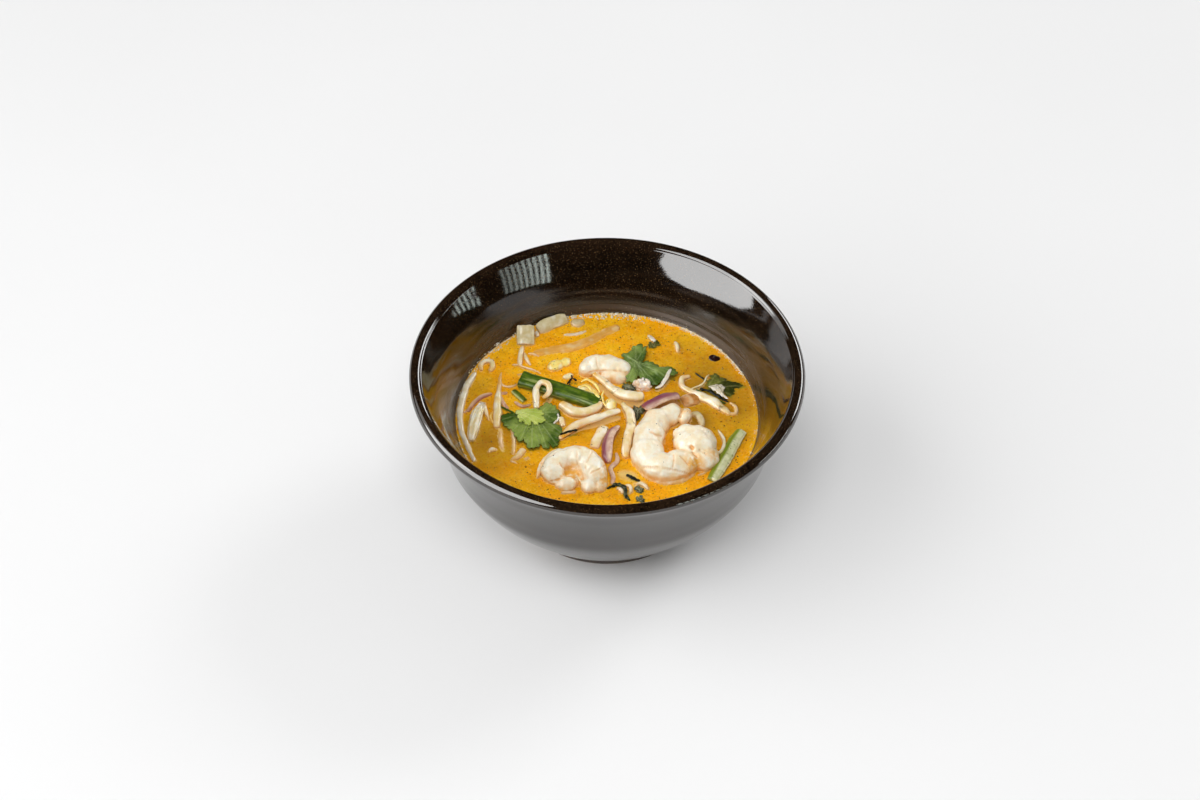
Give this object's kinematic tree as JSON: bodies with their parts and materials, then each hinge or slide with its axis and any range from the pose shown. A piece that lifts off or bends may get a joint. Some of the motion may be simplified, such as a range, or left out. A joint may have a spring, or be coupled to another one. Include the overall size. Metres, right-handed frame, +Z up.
{
  "type": "tom yum soup in a bowl",
  "caption": "Glazed stoneware bowl of tom yum soup, with curled prawns, bean sprouts, red onion, spring onion and coriander floating on the broth.",
  "frame": {"origin": "centre of the bowl's foot, on the surface it stands on", "axes": "+Z up; the pictured view looks along +Y, with +X to the right"},
  "size_m": [0.18, 0.18, 0.086],
  "materials": {
    "glaze": "gloss",
    "broth": "gloss",
    "prawn": "gloss",
    "coriander_dark": "satin",
    "coriander_light": "satin",
    "scallion": "gloss",
    "purple_onion": "gloss",
    "clear_onion": "gloss",
    "sprout": "gloss",
    "seed": "satin",
    "herb": "matte",
    "chilli": "gloss"
  },
  "bodies": {
    "root": {"bowl": "glaze", "broth": "broth", "sprout_loop": "sprout", "sprout_crown": "sprout", "onion_purple_top": "purple_onion", "sprout_ridge": "sprout", "sprout_long": "sprout", "coriander_left_upper": "coriander_light", "prawn_right": "prawn", "prawn_left": "prawn", "coriander_right": "coriander_dark", "prawn_back": "prawn", "coriander_left": "coriander_dark", "scallion_tube": "scallion", "sprout_curved": "sprout", "crumb": "clear_onion", "bud_pair": "seed", "bud_round": "seed", "herb_mid": "herb", "herb_back": "herb", "onion_front": "purple_onion", "sprout_short": "sprout", "onion_front_ribbon": "purple_onion", "scallion_small": "scallion", "scallion_split": "scallion", "sprout_hooked": "sprout", "coriander_side": "coriander_dark", "coriander_back": "coriander_dark", "onion_orange": "clear_onion", "sprout_stub": "sprout", "onion_left_petal": "clear_onion", "onion_left_arc": "purple_onion", "sprout_upright": "sprout", "sprout_tail_hook": "sprout", "sprout_edge": "sprout", "sprout_wall": "sprout", "onion_chunk_tall": "clear_onion", "onion_chunk_wide": "clear_onion", "onion_chunk_round": "clear_onion", "onion_long": "clear_onion", "sprout_cluster": "sprout", "bean_open": "seed", "bud_side": "seed", "herb_front_curl": "herb", "herb_front_clump": "herb", "chilli_flake": "chilli"}
  },
  "joints": []
}
